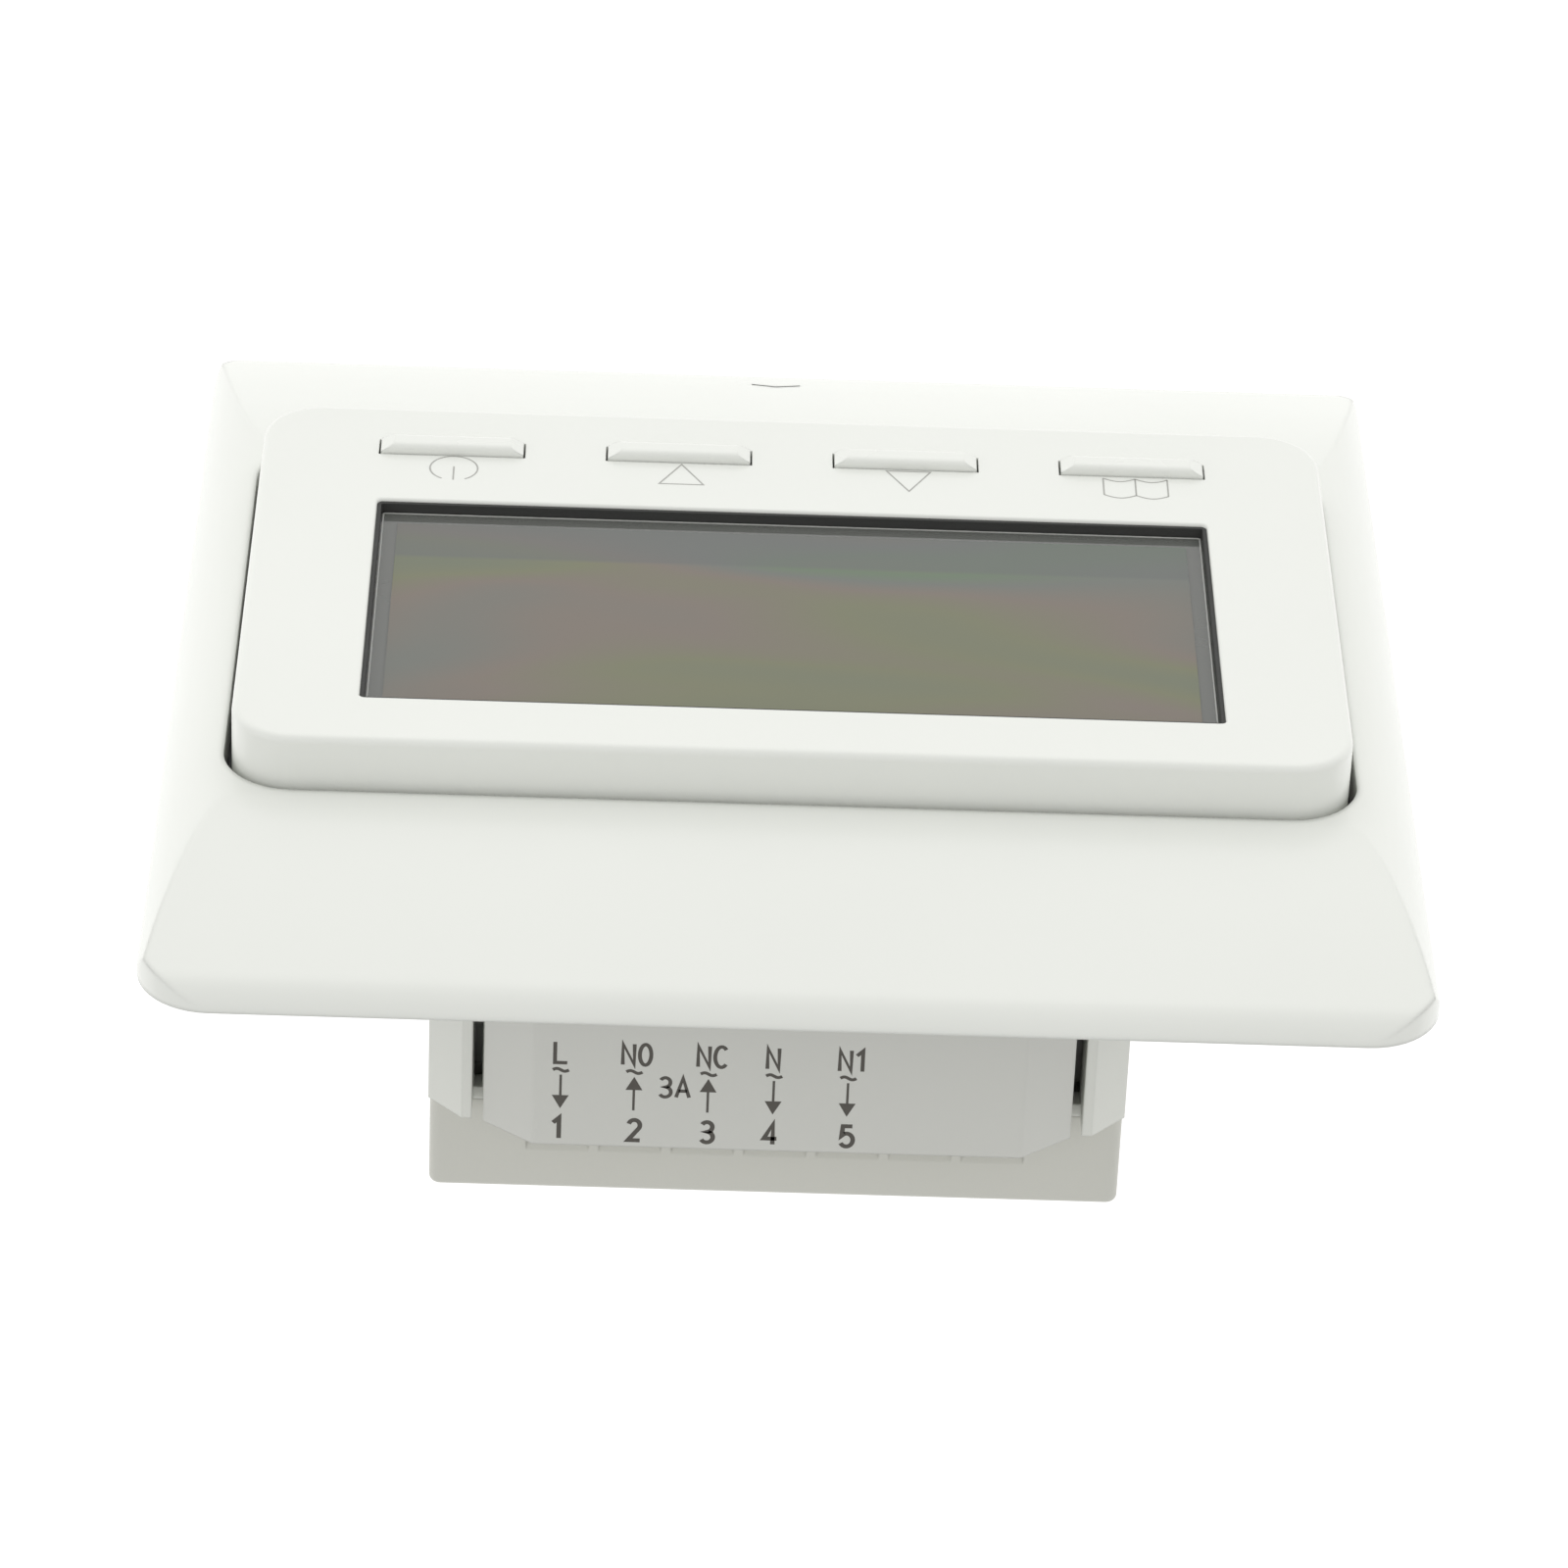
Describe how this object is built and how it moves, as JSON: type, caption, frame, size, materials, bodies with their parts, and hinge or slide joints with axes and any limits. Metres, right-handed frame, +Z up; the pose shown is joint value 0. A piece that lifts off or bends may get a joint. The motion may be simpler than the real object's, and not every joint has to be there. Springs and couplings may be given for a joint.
{
  "type": "programmable timer",
  "caption": "Flush wall-mounted programmable timer: plug-in display module with window and key bars in a square surround, on a relay housing with rear terminals.",
  "frame": {"origin": "centre of the two fixing slots on the rear face of the mounting plate, in the plane of the wall surface", "axes": "+Z up, +X to the right seen from the room, +Y into the wall"},
  "size_m": [0.086, 0.0393, 0.086],
  "materials": {
    "front_white": "fine satin",
    "key_white": "fine satin",
    "housing_white": "fine matt",
    "terminal_grey": "fine matt",
    "black_steel": "black enamel",
    "screw_steel": "zinc plated",
    "block_grey": "matt",
    "plated_brass": "satin",
    "board_green": "lacquered",
    "relay_black": "satin",
    "capacitor_grey": "satin",
    "capacitor_sleeve": "glossy sleeve",
    "varistor_blue": "epoxy dipped",
    "fuse_brown": "satin",
    "moulded_black": "matt",
    "resistor_tan": "lacquered",
    "can_steel": "satin",
    "plunger_white": "matt",
    "polariser": "anti-glare",
    "lcd_glass": "polished",
    "guide_acrylic": "frosted",
    "led_resin": "clear resin",
    "zebra_rubber": "matt",
    "holder_grey": "matt"
  },
  "bodies": {
    "wall_unit": {"surround_frame": "front_white", "base_housing": "housing_white", "rear_cover": "housing_white", "mounting_plate": "black_steel", "housing_screws": "screw_steel", "rear_cover_screws": "screw_steel", "terminal_screws": "screw_steel", "terminal_block": "block_grey", "terminal_clamps": "plated_brass", "terminal_pins": "plated_brass", "power_board": "board_green", "relay": "relay_black", "dropper_capacitor": "capacitor_grey", "smoothing_capacitor": "capacitor_sleeve", "varistor": "varistor_blue", "board_fuse": "fuse_brown", "rectifier_diodes": "moulded_black", "dropper_resistor": "resistor_tan", "header_socket": "moulded_black"},
    "display_module": {"front_cover": "front_white", "lcd_polariser": "polariser", "lcd_front_glass": "lcd_glass", "lcd_rear_glass": "lcd_glass", "light_guide": "guide_acrylic", "backlight_leds": "led_resin", "zebra_connector": "zebra_rubber", "lcd_holder": "holder_grey", "control_board": "board_green", "tact_switches": "moulded_black", "microcontroller": "moulded_black", "clock_crystal": "can_steel", "cell_holder": "moulded_black", "backup_cell": "can_steel", "pin_header": "moulded_black", "header_pins": "plated_brass", "module_back": "housing_white", "module_screws": "screw_steel"},
    "terminal_cover_body": {"terminal_cover": "terminal_grey"},
    "menu_key_body": {"menu_key": "key_white", "menu_switch_plunger": "plunger_white"},
    "up_key_body": {"up_key": "key_white", "up_switch_plunger": "plunger_white"},
    "down_key_body": {"down_key": "key_white", "down_switch_plunger": "plunger_white"},
    "power_key_body": {"power_key": "key_white", "power_switch_plunger": "plunger_white"}
  },
  "joints": [
    {"name": "module_pull", "type": "slide", "parent": "wall_unit", "child": "display_module", "axis": [0, -1, 0], "range_m": [0, 0.018]},
    {"name": "terminal_cover_lift", "type": "slide", "parent": "wall_unit", "child": "terminal_cover_body", "axis": [0, 0, 1], "range_m": [0, 0.01]},
    {"name": "menu_key_press", "type": "slide", "parent": "display_module", "child": "menu_key_body", "axis": [0, 1, 0], "range_m": [0, 0.0004], "stiffness_N_per_m": 1500},
    {"name": "up_key_press", "type": "slide", "parent": "display_module", "child": "up_key_body", "axis": [0, 1, 0], "range_m": [0, 0.0004], "stiffness_N_per_m": 1500},
    {"name": "down_key_press", "type": "slide", "parent": "display_module", "child": "down_key_body", "axis": [0, 1, 0], "range_m": [0, 0.0004], "stiffness_N_per_m": 1500},
    {"name": "power_key_press", "type": "slide", "parent": "display_module", "child": "power_key_body", "axis": [0, 1, 0], "range_m": [0, 0.0004], "stiffness_N_per_m": 1500}
  ]
}
